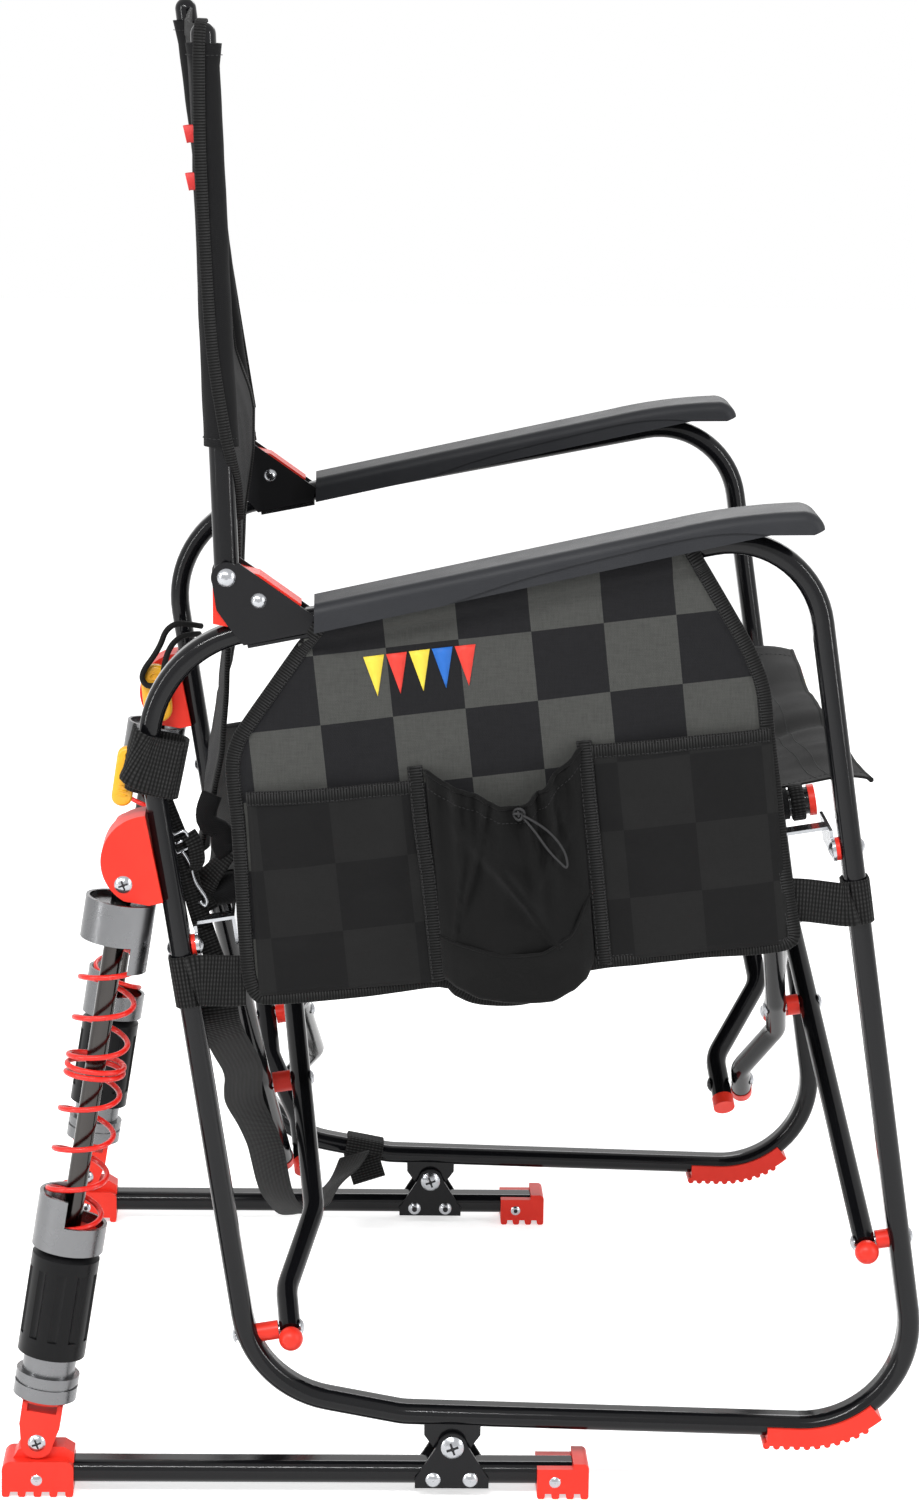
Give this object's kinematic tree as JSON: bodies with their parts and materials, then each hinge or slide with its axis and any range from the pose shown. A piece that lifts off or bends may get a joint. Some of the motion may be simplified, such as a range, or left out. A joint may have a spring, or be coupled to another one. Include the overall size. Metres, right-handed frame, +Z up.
{
  "type": "camping rocking chair",
  "caption": "Folding camping rocking chair: bent tube side frames pivot on ground rails, spring shocks behind, cloth seat and back, padded look arms, side pocket panel.",
  "frame": {"origin": "On the ground at the middle of the bounding box's footprint.", "axes": "+X towards the front the sitter faces, +Y to the sitter's left, +Z up."},
  "size_m": [0.6809, 0.7326, 1.081],
  "materials": {
    "black_tube": "gloss black powder coat on steel tube",
    "black_plate": "satin black coated steel plate",
    "bright_steel": "bright plated steel",
    "silver_alloy": "turned aluminium",
    "dark_chrome": "dark polished rod",
    "black_shock": "semi gloss black fluted barrel",
    "red_spring": "gloss red coated spring wire",
    "red_plastic": "satin red moulded plastic",
    "arm_plastic": "fine grained dark grey moulding",
    "yellow_plastic": "amber yellow moulded plastic",
    "black_cloth": "coated polyester weave",
    "check_cloth": "checked polyester weave with ribbed binding",
    "mesh_cloth": "dark mesh and thin nylon",
    "black_webbing": "ribbed black webbing"
  },
  "bodies": {
    "base_right": {"base_rail_right": "black_tube", "front_foot_right": "red_plastic", "rear_foot_right": "red_plastic", "rocker_plates_right": "black_plate", "base_fasteners_right": "bright_steel"},
    "shock_lower_right": {"shock_yoke_right": "red_plastic", "shock_alloy_right": "silver_alloy", "shock_body_right": "black_shock", "shock_spring_right": "red_spring"},
    "shock_upper_right": {"shock_rod_right": "dark_chrome", "shock_collar_right": "silver_alloy"},
    "side_right": {"side_frame_right": "black_tube", "armrest_right": "arm_plastic", "back_bracket_right": "black_plate", "back_block_right": "red_plastic", "back_post_right": "black_tube", "toe_pad_right": "red_plastic", "shock_mount_right": "red_plastic", "leg_spacers_right": "red_plastic", "side_fasteners_right": "bright_steel", "stay_clips_right": "bright_steel", "side_panel": "check_cloth", "panel_pockets": "mesh_cloth", "lock_clip_right": "yellow_plastic", "back_cloth": "black_cloth", "carry_strap": "black_webbing"},
    "cross_a_right": {"cross_frame_a_right": "black_tube", "cross_caps_a_right": "red_plastic", "cross_bolts_a_right": "bright_steel"},
    "cross_b_right": {"cross_frame_b_right": "black_tube", "cross_caps_b_right": "red_plastic", "cross_bolts_b": "bright_steel", "seat_cloth": "black_cloth"},
    "base_left": {"base_rail_left": "black_tube", "front_foot_left": "red_plastic", "rear_foot_left": "red_plastic", "rocker_plates_left": "black_plate", "base_fasteners_left": "bright_steel"},
    "shock_lower_left": {"shock_yoke_left": "red_plastic", "shock_alloy_left": "silver_alloy", "shock_body_left": "black_shock", "shock_spring_left": "red_spring"},
    "shock_upper_left": {"shock_rod_left": "dark_chrome", "shock_collar_left": "silver_alloy"},
    "side_left": {"side_frame_left": "black_tube", "armrest_left": "arm_plastic", "back_bracket_left": "black_plate", "back_block_left": "red_plastic", "back_post_left": "black_tube", "toe_pad_left": "red_plastic", "shock_mount_left": "red_plastic", "leg_spacers_left": "red_plastic", "side_fasteners_left": "bright_steel", "stay_clips_left": "bright_steel", "lock_clip_left": "yellow_plastic"},
    "cross_a_left": {"cross_frame_a_left": "black_tube", "cross_caps_a_left": "red_plastic", "cross_bolts_a_left": "bright_steel"},
    "cross_b_left": {"cross_frame_b_left": "black_tube", "cross_caps_b_left": "red_plastic"}
  },
  "joints": [
    {"name": "rock", "type": "hinge", "parent": "base_right", "child": "side_right", "pos_m": [-0.01, -0.33, 0.0388], "axis": [0, 1, 0], "range_deg": [-10, 8.1], "stiffness_Nm_per_rad": 420},
    {"name": "fold", "type": "hinge", "parent": "side_right", "child": "cross_a_right", "pos_m": [-0.0236, -0.33, 0.14414], "axis": [0.9869, 0, 0.1616], "range_deg": [0, 47], "deforming": ["seat_cloth", "back_cloth", "carry_strap"]},
    {"name": "fold_cross_right", "type": "hinge", "parent": "cross_a_right", "child": "cross_b_right", "pos_m": [-0.04372, -0.104, 0.267], "axis": [0.9869, 0, 0.1616], "range_deg": [-84.86, 0.5]},
    {"name": "fold_middle", "type": "hinge", "parent": "cross_a_right", "child": "cross_a_left", "pos_m": [-0.05298, 0, 0.32354], "axis": [0.9869, 0, 0.1616], "range_deg": [-94.5, 0.5]},
    {"name": "fold_cross_left", "type": "hinge", "parent": "cross_a_left", "child": "cross_b_left", "pos_m": [-0.04372, 0.104, 0.267], "axis": [0.9869, 0, 0.1616], "range_deg": [-0.5, 84.86]},
    {"name": "fold_side_left", "type": "hinge", "parent": "cross_a_left", "child": "side_left", "pos_m": [-0.0236, 0.33, 0.14414], "axis": [0.9869, 0, 0.1616], "range_deg": [-0.5, 47.5]},
    {"name": "rock_left", "type": "hinge", "parent": "side_left", "child": "base_left", "pos_m": [-0.01, 0.33, 0.0388], "axis": [0, 1, 0], "range_deg": [-9, 10.5]},
    {"name": "shock_swing_right", "type": "hinge", "parent": "base_right", "child": "shock_lower_right", "pos_m": [-0.3183, -0.33, 0.0405], "axis": [0, 1, 0], "range_deg": [-9.5, 9.5]},
    {"name": "shock_swing_left", "type": "hinge", "parent": "base_left", "child": "shock_lower_left", "pos_m": [-0.3183, 0.33, 0.0405], "axis": [0, 1, 0], "range_deg": [-9.5, 9.5]},
    {"name": "shock_travel_right", "type": "slide", "parent": "shock_lower_right", "child": "shock_upper_right", "axis": [0.148, 0, 0.989], "range_m": [-0.055, 0.047], "deforming": ["shock_spring_right"]},
    {"name": "shock_travel_left", "type": "slide", "parent": "shock_lower_left", "child": "shock_upper_left", "axis": [0.148, 0, 0.989], "range_m": [-0.055, 0.047], "deforming": ["shock_spring_left"]}
  ],
  "couplings": [
    {"joint": "rock_left", "follows": "rock", "ratio": -1},
    {"joint": "shock_swing_right", "follows": "rock", "ratio": 0.905},
    {"joint": "shock_swing_left", "follows": "rock", "ratio": 0.905},
    {"joint": "shock_travel_right", "follows": "rock", "m_per_rad": 0.3055},
    {"joint": "shock_travel_left", "follows": "rock", "m_per_rad": 0.3055},
    {"joint": "fold_cross_right", "follows": "fold", "ratio": -1.795},
    {"joint": "fold_middle", "follows": "fold", "ratio": -2},
    {"joint": "fold_cross_left", "follows": "fold", "ratio": 1.795},
    {"joint": "fold_side_left", "follows": "fold", "ratio": 1}
  ]
}
